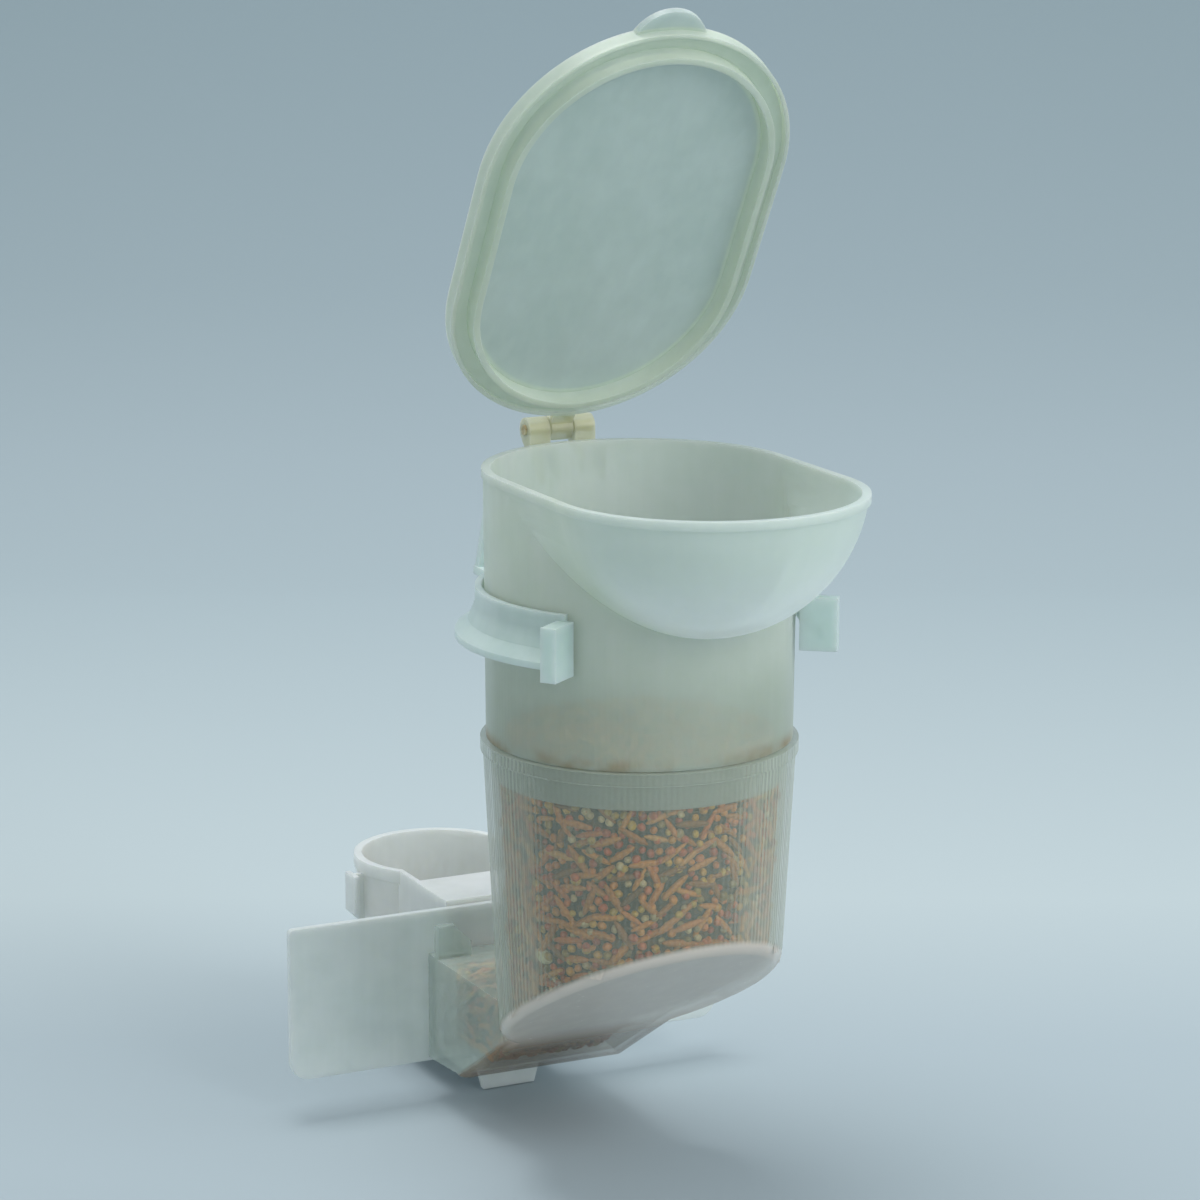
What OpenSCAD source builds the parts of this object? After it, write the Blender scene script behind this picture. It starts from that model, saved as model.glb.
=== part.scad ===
// Outside seed hopper for a wire bird cage: a tapered tube with a scooped mouth and hinged lid
// stands in a ribbed base cup, whose spout feeds an open tray inside the cage.
// +Z is up and +Y points into the cage. The origin is on the cage rail that the base hooks over.

/* [Cage wire] */
// Diameter of the cage's horizontal rails
wire_d = 2.4; // [2:0.1:3]
// Gap that a rail drops into
slot_w = 3.0; // [2.8:0.1:4]
// Height between the door's lower and upper rails
rail_step = 75.5; // [66:0.5:84]

/* [Hopper] */
// Height of the hopper tube above the base cup
tube_h = 49; // [42:0.5:60]
// Outer radius of the tube at its mouth
tube_r = 28; // [26:0.1:30]
// How much narrower the tube is where it meets the base cup
tube_taper = 0.4; // [0:0.1:1.5]
// Wall of the hopper
hopper_wall = 1.3; // [1:0.1:2]
// Length of the mouth from back to front
mouth_len = 81; // [72:0.5:92]
// Height of the scoop's centre above the rim
scoop_rise = 2.6; // [1:0.1:5]
// Depth of the plug that enters the base cup
plug_h = 7; // [4:0.5:10]
// Height of the thickened lip round the mouth
lip_h = 1.6; // [1:0.1:3]
// How far the lip stands out from the wall
lip_out = 0.3; // [0.2:0.1:0.6]

/* [Hinge] */
// Distance of the hinge axis behind the back of the mouth
hinge_back = 6; // [5.5:0.5:9]
// Height of the hinge axis above the rim
hinge_up = 1.5; // [1:0.1:2]
// Outer radius of the hinge barrels
barrel_r = 2.3; // [2:0.1:3]
// Radius of the hinge pin
pin_r = 1.0; // [0.8:0.05:1.2]
// Length of each ear's barrel
ear_len = 4.2; // [3:0.1:6]
// Length of the lid's knuckle
knuckle_len = 4.4; // [3:0.1:6]
// Angle that the lid stands open
lid_open = 60; // [0:1:110]

/* [Lid] */
// Thickness of the lid's top
lid_top = 1.3; // [1:0.1:2]
// Wall of the lid's outer skirt
skirt_wall = 0.8; // [0.8:0.1:1.6]
// Depth of the skirt at the front and sides
skirt_h = 1.6; // [1.2:0.1:4]
// Depth of the skirt at the hinge, where it has to swing clear
skirt_back_h = 1; // [0.8:0.1:1.2]
// Depth of the ring that plugs the mouth
ring_h = 3.4; // [2:0.1:5]
// Wall of the plug ring
ring_wall = 1.2; // [0.8:0.1:2]
// Width of the thumb tab
tab_w = 15; // [10:0.5:20]
// How far the thumb tab stands out
tab_out = 3.6; // [2:0.1:6]

/* [Base cup] */
// Height of the cup's rim above the cage rail
rim_up = 53.5; // [46:0.5:60]
// Distance of the tube's axis in front of the cage rail
stand_off = 54.5; // [50:0.5:62]
// How much wider the cup's rim is than the tube's mouth, on the radius
cup_proud = 0.3; // [0.1:0.1:1.5]
// Wall of the cup
cup_wall = 1.3; // [1:0.1:2]
// Draft of the cup's wall
cup_draft = 3; // [0:0.5:4]
// Depth of the cup's underside on the tube's axis
cup_depth = 50.7; // [44:0.5:56]
// Slope of the floor that sheds the seed
floor_slope = 32; // [26:1:36]
// Thickness of the floor
floor_t = 1.5; // [1:0.1:2]
// Height of the bead round the cup's rim
bead_h = 2.2; // [1:0.1:4]
// How far the bead stands out
bead_out = 0.35; // [0.2:0.05:0.8]

/* [Spout] */
// Outer width of the spout
spout_w = 34.4; // [28:0.2:38]
// Wall of the spout
spout_wall = 1.3; // [1:0.1:2]
// Depth of the spout's underside below the cage rail
spout_drop = 22.6; // [20:0.2:26]
// Width of each hook lug
lug_w = 7; // [4:0.5:9]
// Height of the hook lugs above the rail's axis
lug_up = 5; // [3:0.5:7]
// Thickness of the hook lugs
lug_t = 1.8; // [1.2:0.1:2.4]

/* [Door plate] */
// Width across the wings
plate_w = 92; // [80:1:110]
// Height of the wings above the rail's axis
plate_up = 7; // [5:0.5:9]
// Depth of the wings below the rail's axis
plate_down = 23.4; // [22.8:0.2:28]
// Thickness of the plate
plate_t = 1.5; // [1.2:0.1:2]
// Corner radius at the foot of the wings
plate_corner = 4; // [2:0.5:8]
// Corner radius at the top of the wings
plate_top_corner = 1; // [0.5:0.5:3]
// Width of the foot tongue at its top
foot_w = 16; // [10:0.5:22]
// Width of the foot tongue at its tip
foot_tip_w = 11; // [6:0.5:14]
// Length of the foot tongue
foot_h = 7.8; // [4:0.2:10]

/* [Feed tray] */
// Outer radius of the round tray
tray_r = 16.2; // [14:0.1:20]
// Distance of the tray's centre behind the cage rail
tray_y = 36.4; // [34:0.2:44]
// Wall of the tray
tray_wall = 1.2; // [1:0.1:2]
// Height of the tray's rim above the cage rail
tray_up = 8; // [6:0.2:11]
// Depth of the tray's underside below the cage rail
tray_drop = 22.4; // [20:0.2:25]
// Outer width of the roofed neck
neck_w = 25.4; // [20:0.2:28]
// Length of the roof over the neck
roof_len = 15.2; // [12:0.2:18]
// Height of the band round the tray's rim
band_h = 2.7; // [1.5:0.1:4]
// How far the band stands out
band_out = 0.5; // [0.3:0.1:1]
// Length of the tongue that plugs into the spout
tongue_len = 6; // [4:0.5:9]
// Height of the perch lugs
perch_h = 8; // [5:0.5:10]
// Width of the groove in each perch lug
perch_gap = 1.6; // [1.2:0.1:2.5]
// Length of the perch lugs along the wall
perch_len = 5; // [3:0.5:8]

/* [Cage clip] */
// Height of the clip's lower edge above the cup's rim
clip_up = 18.6; // [17:0.2:20]
// Height of the clip's band
clip_h = 9.2; // [7:0.2:11]
// Wall of the clip
clip_wall = 1.2; // [0.9:0.1:1.8]
// How far the clip's lower edge flares out
clip_flare = 3.6; // [2:0.1:5]
// Angle at which the clip's arms end, from the back
clip_arm = 127; // [105:1:135]
// How far the finger tabs stand out
finger_out = 6.2; // [4:0.2:8]
// Thickness of the finger tabs
finger_t = 3; // [2:0.2:4]
// Height of the finger tabs
finger_h = 9.6; // [7:0.2:11]
// Width of the hook's tongue at its foot
hook_w = 13; // [10:0.5:20]
// Width of the hook's tongue at its tip
hook_tip_w = 9; // [6:0.5:14]
// Height of the hook's tip above the upper rail
hook_up = 8.5; // [6:0.5:20]
// Thickness of the hook
hook_t = 1.6; // [1.2:0.1:2.4]

/* [Seed] */
// Height of the seed above the cup's rim, inside the hopper
heap_up = 1; // [0:0.5:8]
// Depth of the seed's surface in the tray below the cage rail
tray_seed_drop = 12; // [8:0.5:16]
// Radius of the grains that show on a charge's surface
grain_r = 1.6; // [1:0.1:2.5]
// How far these grains stand out of the seed behind them
grain_proud = 0.9; // [0.4:0.1:1.2]
// Number of grains that would show round the cup's wall if its floor were flat
cup_grains = 150; // [60:1:200]
// Number of grains that show in the tray's bowl
bowl_grains = 14; // [6:1:30]
// Number of pairs of grains that show in the tray's neck
neck_grains = 3; // [1:1:5]

/* [Hidden] */

$fn = 96;
// Clearance between pieces that slide or swing past each other
gap = 0.3;
// Clearance of the plug ring in the mouth
ring_gap = 0.4;
// Clearance of the tray's tongue and of the seed in their seats
seat_gap = 0.2;
// Clearance of the pin in the ears, and in the lid's knuckle
ear_fit = 0.01;
knuckle_fit = 0.06;
// Turn from each grain to the next, which spreads them evenly
grain_turn = 137.508;
// Overrun of every cut
cut = 1;
// Edge of the blocks that cut away all that lies on one side of a plane
reach = 200;

tube_foot_r = tube_r - tube_taper;
cup_r = tube_r + cup_proud;
rim_z = rim_up + tube_h;
tube_y = -stand_off;
mouth_back = tube_y + tube_r;
front_y = mouth_back - mouth_len + tube_r;
scoop_z = rim_z + scoop_rise;
scoop_r = sqrt(tube_r * tube_r + scoop_rise * scoop_rise);
// The ring clears the scoop's wall at the ring's foot, where the scoop is narrowest
ring_grow = sqrt(pow(scoop_r - hopper_wall, 2) - pow(scoop_rise + ring_h, 2)) - ring_gap - tube_r;
cup_in_r = cup_r - cup_wall;
plug_r = cup_in_r - gap;
plug_foot_r = plug_r - plug_h * tan(cup_draft);
hinge_y = mouth_back + hinge_back;
hinge_z = rim_z + hinge_up;
pin_len = 2 * ear_len + knuckle_len + 4 * gap;
plate_front = slot_w / 2;
plate_back = plate_front + plate_t;
floor_z = rim_up - cup_depth;
spout_roof = -slot_w / 2;
cup_tall = cup_depth + cup_r;
clip_z = rim_up + clip_up;

// A racetrack outline that follows the mouth, grown by g
module racetrack(g) {
    translate([0, tube_y]) circle(r = tube_r + g);
    translate([0, front_y]) circle(r = tube_r + g);
    translate([-tube_r - g, front_y]) square([2 * (tube_r + g), tube_y - front_y]);
}

// A racetrack band of height h from z, between the outlines grown by g_out and g_in
module racetrack_band(z, h, g_out, g_in) {
    translate([0, 0, z]) linear_extrude(h) difference() {
        racetrack(g_out);
        racetrack(g_in);
    }
}

// All that lies more than t above the sloping underside of the floor
module above_floor(t) {
    translate([0, tube_y, floor_z]) rotate([-floor_slope, 0, 0])
        translate([-reach / 2, -reach / 2, t]) cube(reach);
}

// The cup's tapered form, shrunk by s
module cup_form(s, top) {
    lean = tan(cup_draft);
    translate([0, tube_y, rim_up - cup_tall])
        cylinder(h = cup_tall + top, r1 = cup_r - s - cup_tall * lean, r2 = cup_r - s + top * lean);
}

// The scoop and tube in one, shrunk by s on every wall and cut off at the rim
module hopper_form(s) {
    intersection() {
        union() {
            translate([0, tube_y, rim_up + gap])
                cylinder(h = tube_h - gap + cut, r1 = tube_foot_r - s, r2 = tube_r - s);
            intersection() {
                union() {
                    translate([0, front_y, scoop_z]) sphere(r = scoop_r - s);
                    translate([0, front_y, scoop_z]) rotate([-90, 0, 0])
                        cylinder(h = tube_y - front_y, r = scoop_r - s);
                }
                translate([-reach / 2, tube_y - reach, 0]) cube(reach);
            }
        }
        translate([-reach / 2, tube_y - reach / 2, rim_z - reach + (s > 0 ? cut : 0)]) cube(reach);
    }
}

// One hinge ear: a gusset on the tube's back wall that carries a barrel, from x along +X
module hinge_ear(x) {
    root = mouth_back - hopper_wall / 2;
    ear_top = rim_z - skirt_back_h - gap;
    translate([x, 0, 0]) {
        translate([0, hinge_y, hinge_z]) rotate([0, 90, 0]) cylinder(h = ear_len, r = barrel_r);
        rotate([90, 0, 90]) linear_extrude(ear_len)
            polygon([[root, hinge_z - 4 * barrel_r], [hinge_y + barrel_r / 2, hinge_z - barrel_r],
                     [hinge_y + barrel_r, hinge_z], [hinge_y - barrel_r, hinge_z],
                     [hinge_y - barrel_r, ear_top], [root, ear_top]]);
    }
}

module hopper() color([0.78, 0.85, 0.80]) difference() {
    union() {
        hopper_form(0);
        racetrack_band(rim_z - lip_h, lip_h, lip_out, -hopper_wall / 2);
        translate([0, tube_y, rim_up - plug_h])
            cylinder(h = plug_h + hopper_wall + gap, r1 = plug_foot_r, r2 = plug_r);
        hinge_ear(knuckle_len / 2 + gap);
        hinge_ear(-knuckle_len / 2 - gap - ear_len);
    }
    hopper_form(hopper_wall);
    translate([0, tube_y, rim_up - plug_h - cut])
        cylinder(h = plug_h + 2 * hopper_wall + cut, r = plug_foot_r - hopper_wall);
    translate([-pin_len, hinge_y, hinge_z]) rotate([0, 90, 0])
        cylinder(h = 2 * pin_len, r = pin_r + ear_fit);
}

module hinge_pin() color([0.80, 0.76, 0.58])
    translate([-pin_len / 2, hinge_y, hinge_z]) rotate([0, 90, 0])
        cylinder(h = pin_len, r = pin_r);

// The lid as it lies when shut
module lid_shut() {
    sheet_z = rim_z + gap;
    grow = lip_out + gap + skirt_wall;
    difference() {
        union() {
            translate([0, 0, sheet_z]) linear_extrude(lid_top) {
                racetrack(grow);
                tip = front_y - tube_r - grow;
                intersection() {
                    translate([0, tip + tab_w / 2 - tab_out]) circle(r = tab_w / 2);
                    translate([-tab_w / 2, tip - tab_out]) square([tab_w, tab_w / 2]);
                }
            }
            racetrack_band(rim_z + gap - skirt_h, skirt_h + lid_top, grow, grow - skirt_wall);
            racetrack_band(rim_z + gap - ring_h, ring_h + lid_top / 2, ring_grow, ring_grow - ring_wall);
            // The knuckle's arm reaches back from the sheet to the barrel
            translate([-knuckle_len / 2, 0, 0]) {
                translate([0, hinge_y, hinge_z]) rotate([0, 90, 0])
                    cylinder(h = knuckle_len, r = barrel_r);
                translate([0, mouth_back, sheet_z]) cube([knuckle_len, hinge_back, lid_top]);
            }
        }
        // The skirt gets shallower towards the hinge, so that it swings clear of the lip
        slope = atan((skirt_h - skirt_back_h) / tube_r);
        difference() {
            translate([0, tube_y, rim_z + gap - skirt_h]) rotate([slope, 0, 0])
                translate([-reach / 2, 0, -reach]) cube(reach);
            translate([0, 0, rim_z - reach]) linear_extrude(reach + gap)
                racetrack(lip_out + gap / 2);
        }
        translate([-pin_len, hinge_y, hinge_z]) rotate([0, 90, 0])
            cylinder(h = 2 * pin_len, r = pin_r + knuckle_fit);
    }
}

module lid() color([0.76, 0.85, 0.82])
    translate([0, hinge_y, hinge_z]) rotate([-lid_open, 0, 0])
        translate([0, -hinge_y, -hinge_z]) lid_shut();

// The sector of the clip's ring that its arms fill, as an outline of radius r
module arm_sector(r, angle) {
    steps = 12;
    polygon(concat([[0, 0]], [for (i = [0 : steps])
        let (a = 90 - angle + 2 * angle * i / steps) [r * cos(a), r * sin(a)]]));
}

module cage_clip() color([0.62, 0.82, 0.80]) {
    clip_r = tube_r + gap;
    grip_h = clip_h / 3;
    band_r = clip_r + clip_wall;
    lip_r = band_r + clip_flare;
    tip_z = rail_step + hook_up;
    shelf_z = rail_step - slot_w / 2 - hook_t;
    translate([0, tube_y, clip_z]) {
        intersection() {
            rotate_extrude() polygon([[clip_r, clip_h], [band_r, clip_h],
                [band_r, clip_h - grip_h], [band_r + clip_flare / 3, clip_h / 3],
                [lip_r, clip_wall], [lip_r, 0], [lip_r - clip_wall, 0],
                [clip_r + clip_flare / 3, clip_h / 3 - clip_wall / 2],
                [clip_r, clip_h - 2 * grip_h + clip_wall]]);
            translate([0, 0, -cut]) linear_extrude(clip_h + 2 * cut)
                arm_sector(2 * lip_r, clip_arm);
        }
        for (side = [-1, 1]) rotate([0, 0, side * clip_arm])
            translate([-finger_t / 2, clip_r + clip_wall / 2, -finger_t / 2])
                cube([finger_t, finger_out + clip_wall / 2, finger_h]);
    }
    // The hook: a shelf that runs back under the upper rail, and a tongue behind it
    difference() {
        translate([-hook_w / 2, tube_y + clip_r + clip_wall / 2, shelf_z])
            cube([hook_w, slot_w / 2 + hook_t - tube_y - clip_r - clip_wall / 2, hook_t]);
        translate([0, tube_y, shelf_z - cut]) cylinder(h = hook_t + 2 * cut, r = clip_r);
    }
    translate([0, slot_w / 2 + hook_t, 0]) rotate([90, 0, 0]) linear_extrude(hook_t)
        polygon([[-hook_w / 2, shelf_z], [hook_w / 2, shelf_z], [hook_tip_w / 2, tip_z],
                 [-hook_tip_w / 2, tip_z]]);
}

// The spout's hollow or solid form: shrunk by s, from y_in to y_out
module spout_form(s, y_in, y_out) {
    intersection() {
        translate([-spout_w / 2 + s, y_in, s - spout_drop])
            cube([spout_w - 2 * s, y_out - y_in, spout_drop + spout_roof - 2 * s]);
        above_floor(s > 0 ? floor_t : 0);
    }
}

module hook_lug(side) {
    inner = spout_w / 2 - lug_w;
    slant = lug_w / 2;
    translate([0, -slot_w / 2, 0]) rotate([90, 0, 0]) linear_extrude(lug_t)
        polygon([[side * inner, spout_roof - spout_wall], [side * spout_w / 2, spout_roof - spout_wall],
                 [side * spout_w / 2, lug_up], [side * (inner + slant), lug_up],
                 [side * inner, lug_up - slant]]);
}

module base_cup() color([0.74, 0.80, 0.74]) difference() {
    union() {
        intersection() {
            cup_form(0, 0);
            above_floor(0);
        }
        translate([0, tube_y, rim_up - bead_h]) cylinder(h = bead_h, r = cup_r + bead_out);
        spout_form(0, tube_y, plate_front);
        hook_lug(-1);
        hook_lug(1);
    }
    intersection() {
        cup_form(cup_wall, cut);
        above_floor(floor_t);
    }
    spout_form(spout_wall, tube_y, plate_front + cut);
}

module door_plate() color([0.80, 0.86, 0.86])
    translate([0, plate_back, 0]) rotate([90, 0, 0]) linear_extrude(plate_t) difference() {
        union() {
            for (side = [-1, 1]) {
                translate([side * (plate_w / 2 - plate_corner), plate_corner - plate_down])
                    circle(r = plate_corner);
                translate([side * (plate_w / 2 - plate_top_corner), plate_up - plate_top_corner])
                    circle(r = plate_top_corner);
            }
            translate([plate_corner - plate_w / 2, -plate_down])
                square([plate_w - 2 * plate_corner, plate_up + plate_down]);
            translate([-plate_w / 2, plate_corner - plate_down])
                square([plate_w, plate_up + plate_down - plate_corner - plate_top_corner]);
            translate([plate_top_corner - plate_w / 2, 0])
                square([plate_w - 2 * plate_top_corner, plate_up]);
            polygon([[-foot_tip_w / 2, -plate_down - foot_h], [foot_tip_w / 2, -plate_down - foot_h],
                     [foot_w / 2, plate_t - plate_down], [-foot_w / 2, plate_t - plate_down]]);
        }
        translate([spout_wall - spout_w / 2, spout_wall - spout_drop])
            square([spout_w - 2 * spout_wall, spout_drop + spout_roof - 2 * spout_wall]);
    }

// The tray's outline in plan, shrunk by s: a round bowl and a neck that runs to the plate
module tray_plan(s, y_in) {
    translate([0, tray_y]) circle(r = tray_r - s);
    translate([s - neck_w / 2, y_in]) square([neck_w - 2 * s, tray_y - y_in]);
}

// The tongue's outline across the spout, shrunk by s
module tongue_plan(s) {
    edge = spout_wall + seat_gap + s;
    translate([edge - spout_w / 2, edge - spout_drop])
        square([spout_w - 2 * edge, spout_drop + spout_roof - 2 * edge]);
}

// A lug on the bowl's side with a groove for a perch clip, and the gusset that carries it
module perch_lug(side) {
    wall_x = tray_r - tray_wall / 2;
    lug_out = tray_wall / 2 + perch_gap + tray_wall;
    top = tray_up - band_h;
    translate([0, tray_y, 0]) mirror([side < 0 ? 1 : 0, 0, 0]) {
        translate([0, tray_wall / 2, 0]) rotate([90, 0, 0]) linear_extrude(tray_wall)
            polygon([[wall_x, top - perch_h - lug_out], [wall_x + lug_out, top - perch_h],
                     [wall_x + lug_out, top], [wall_x, top]]);
        translate([wall_x + lug_out - tray_wall, -perch_len / 2, top - perch_h])
            cube([tray_wall, perch_len, perch_h]);
    }
}

module feed_tray() color([0.82, 0.87, 0.84]) {
    inner_top = tray_up - tray_wall;
    difference() {
        union() {
            translate([0, 0, -tray_drop]) linear_extrude(tray_drop + tray_up) tray_plan(0, plate_back);
            translate([0, tray_y, tray_up - band_h]) cylinder(h = band_h, r = tray_r + band_out);
            perch_lug(-1);
            perch_lug(1);
            translate([0, plate_back + tray_wall, 0]) rotate([90, 0, 0])
                linear_extrude(plate_t + tray_wall + tongue_len) tongue_plan(0);
        }
        // The hollow under the neck's roof, and the bowl that is open to the sky
        translate([0, 0, tray_wall - tray_drop]) linear_extrude(tray_drop + inner_top - tray_wall)
            tray_plan(tray_wall, plate_back + tray_wall);
        intersection() {
            translate([0, 0, inner_top - cut]) linear_extrude(tray_wall + 2 * cut)
                tray_plan(tray_wall, plate_back);
            translate([-reach / 2, plate_back + roof_len, 0]) cube(reach);
        }
        translate([0, plate_back + tray_wall + cut, 0]) rotate([90, 0, 0])
            linear_extrude(plate_t + tray_wall + tongue_len + 2 * cut)
            intersection() {
                tongue_plan(tray_wall);
                translate([tray_wall - neck_w / 2, -reach / 2]) square([neck_w - 2 * tray_wall, reach]);
            }
    }
}

module cup_seed() color([0.62, 0.36, 0.18]) {
    heap_r = plug_foot_r - hopper_wall - gap;
    inset = cup_wall + seat_gap + grain_proud;
    lean = tan(cup_draft);
    low = floor_z - cup_in_r * tan(floor_slope) + floor_t;
    high = rim_up - plug_h - gap - 2 * grain_r;
    intersection() {
        union() {
            intersection() {
                union() {
                    cup_form(inset, -plug_h - gap);
                    translate([0, tube_y, floor_z]) cylinder(h = cup_depth + heap_up, r = heap_r);
                }
                cup_form(inset, tube_h);
            }
            // The grains on the wall, but for those that the sloping floor would hide
            for (i = [0 : cup_grains - 1]) {
                z = low + (high - low) * (i + 1 / 2) / cup_grains;
                r = cup_in_r - seat_gap - grain_r - (rim_up - z) * lean;
                floor_here = floor_z - r * sin(i * grain_turn) * tan(floor_slope);
                if (z > floor_here)
                    translate([0, tube_y, z]) rotate([0, 0, i * grain_turn]) translate([r, 0, 0])
                        sphere(r = grain_r);
            }
        }
        above_floor(floor_t + seat_gap);
    }
}

module tray_seed() color([0.66, 0.40, 0.20]) {
    half = neck_w / 2 - tray_wall - seat_gap;
    bed = spout_wall + tray_wall + 2 * seat_gap - spout_drop;
    bowl_bed = tray_wall + seat_gap - tray_drop;
    bowl_r = tray_r - tray_wall - seat_gap;
    seed_top = -tray_seed_drop - grain_proud;
    step_y = plate_back + tray_wall + seat_gap;
    mouth_y = tube_y + cup_in_r - cup_depth * tan(cup_draft);
    difference() {
        intersection() {
            union() {
                translate([-half, 0, 0]) rotate([90, 0, 90]) linear_extrude(2 * half)
                    polygon([[mouth_y - cup_wall, bed], [step_y, bed], [step_y, bowl_bed],
                             [tray_y, bowl_bed], [tray_y, seed_top], [plate_back, seed_top],
                             [-tongue_len, spout_roof - 4 * spout_wall],
                             [mouth_y - cup_wall, spout_roof - 4 * spout_wall]]);
                translate([0, tray_y, bowl_bed]) cylinder(h = seed_top - bowl_bed, r = bowl_r);
                for (i = [0 : bowl_grains - 1])
                    translate([0, tray_y, -tray_seed_drop - grain_r]) rotate([0, 0, i * grain_turn])
                        translate([(bowl_r - grain_r) * sqrt((i + 1 / 2) / bowl_grains), 0, 0])
                            sphere(r = grain_r);
                for (i = [0 : neck_grains - 1], side = [-1, 1])
                    translate([side * half / 2, plate_back + roof_len * (i + 1 / 2) / neck_grains,
                               -tray_seed_drop - grain_r]) sphere(r = grain_r);
            }
            above_floor(floor_t + seat_gap);
        }
        cup_form(cup_wall, 0);
    }
}

hopper();
lid();
hinge_pin();
cage_clip();
base_cup();
door_plate();
feed_tray();
cup_seed();
tray_seed();
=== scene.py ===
"""Looks of an outside seed hopper for a wire bird cage.

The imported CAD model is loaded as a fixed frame. Each moulding gets softened edges and a plastic of
its own, the seed charges become loose grain, and a plain studio with a camera is set round them.
Lengths in this file are in millimetres where their names end in _mm, and in metres elsewhere.
"""

import logging
import math
from dataclasses import dataclass
from enum import Enum
from typing import Any, Callable, Mapping, Optional, Sequence, Union

import bmesh
import bpy
from mathutils import Matrix, Vector
from mathutils.bvhtree import BVHTree


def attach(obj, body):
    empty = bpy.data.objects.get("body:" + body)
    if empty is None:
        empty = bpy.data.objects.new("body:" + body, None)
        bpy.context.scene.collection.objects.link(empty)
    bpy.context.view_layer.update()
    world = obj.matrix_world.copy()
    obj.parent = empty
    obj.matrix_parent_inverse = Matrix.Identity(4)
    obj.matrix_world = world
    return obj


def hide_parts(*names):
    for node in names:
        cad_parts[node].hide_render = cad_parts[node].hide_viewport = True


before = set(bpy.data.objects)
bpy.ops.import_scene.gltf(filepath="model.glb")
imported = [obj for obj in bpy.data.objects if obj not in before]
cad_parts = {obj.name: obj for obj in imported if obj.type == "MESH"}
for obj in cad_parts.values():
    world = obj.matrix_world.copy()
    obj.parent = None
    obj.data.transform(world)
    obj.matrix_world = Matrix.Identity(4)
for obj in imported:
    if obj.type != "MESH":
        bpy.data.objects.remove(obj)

LOG = logging.getLogger("seed_cup")
MM = 0.001

TUBE_Y_MM = -54.5
HINGE_Y_MM = -20.5
HINGE_Z_MM = 104.0
FLOOR_Z_MM = 2.8
FLOOR_SLOPE_DEG = 32.0

WELD_MM = 0.04
FLAT_DEG = 0.6
SHARP_DEG = 30.0
PLASTIC_IOR = 1.49

Colour = tuple[float, float, float]
Point = tuple[float, float, float]
Band = tuple[float, float]
Number = Union[float, "Signal"]


def linear(red: int, green: int, blue: int) -> Colour:
    """Turns a screen colour into a linear one.

    Args:
        red: Red from 0 to 255.
        green: Green from 0 to 255.
        blue: Blue from 0 to 255.

    Returns:
        The linear colour, each part from 0 to 1.
    """
    def part(value: int) -> float:
        """Gives one part of the linear colour."""
        share = value / 255
        return share / 12.92 if share <= 0.04045 else ((share + 0.055) / 1.055) ** 2.4
    return part(red), part(green), part(blue)


class Body(Enum):
    """The bodies of the part that pieces ride on."""

    BASE = "base"
    HOPPER = "hopper"
    LID = "lid"
    CLIP = "clip"


class Slot(Enum):
    """The record's material slots."""

    HOPPER = "hopper_plastic"
    LID = "lid_plastic"
    PIN = "pin_plastic"
    CLIP = "clip_plastic"
    CUP = "cup_plastic"
    PLATE = "plate_plastic"
    TRAY = "tray_plastic"
    SEED = "seed"


# ---------------- shader graphs


class Signal:
    """A shader socket that takes part in Python arithmetic."""

    def __init__(self, graph: "Graph", socket: bpy.types.NodeSocket) -> None:
        """Keeps the graph and the socket.

        Args:
            graph: The graph that new nodes are added to.
            socket: The output that this signal stands for.
        """
        self.graph = graph
        self.socket = socket

    def __add__(self, other: Number) -> "Signal":
        """Adds a number or a signal."""
        return self.graph.math("ADD", self, other)

    __radd__ = __add__

    def __sub__(self, other: Number) -> "Signal":
        """Takes away a number or a signal."""
        return self.graph.math("SUBTRACT", self, other)

    def __rsub__(self, other: Number) -> "Signal":
        """Is taken away from a number."""
        return self.graph.math("SUBTRACT", other, self)

    def __mul__(self, other: Number) -> "Signal":
        """Multiplies by a number or a signal."""
        return self.graph.math("MULTIPLY", self, other)

    __rmul__ = __mul__

    def __abs__(self) -> "Signal":
        """Gives the value without its sign."""
        return self.graph.math("ABSOLUTE", self)

    def sine(self) -> "Signal":
        """Gives the sine of the value in radians."""
        return self.graph.math("SINE", self)

    def ramp(self, low: float, high: float) -> "Signal":
        """Maps low to 0 and high to 1, smoothly and held between them."""
        return self.graph.add("ShaderNodeMapRange", {"interpolation_type": "SMOOTHSTEP"},
                              {"Value": self, "From Min": low, "From Max": high})


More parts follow.
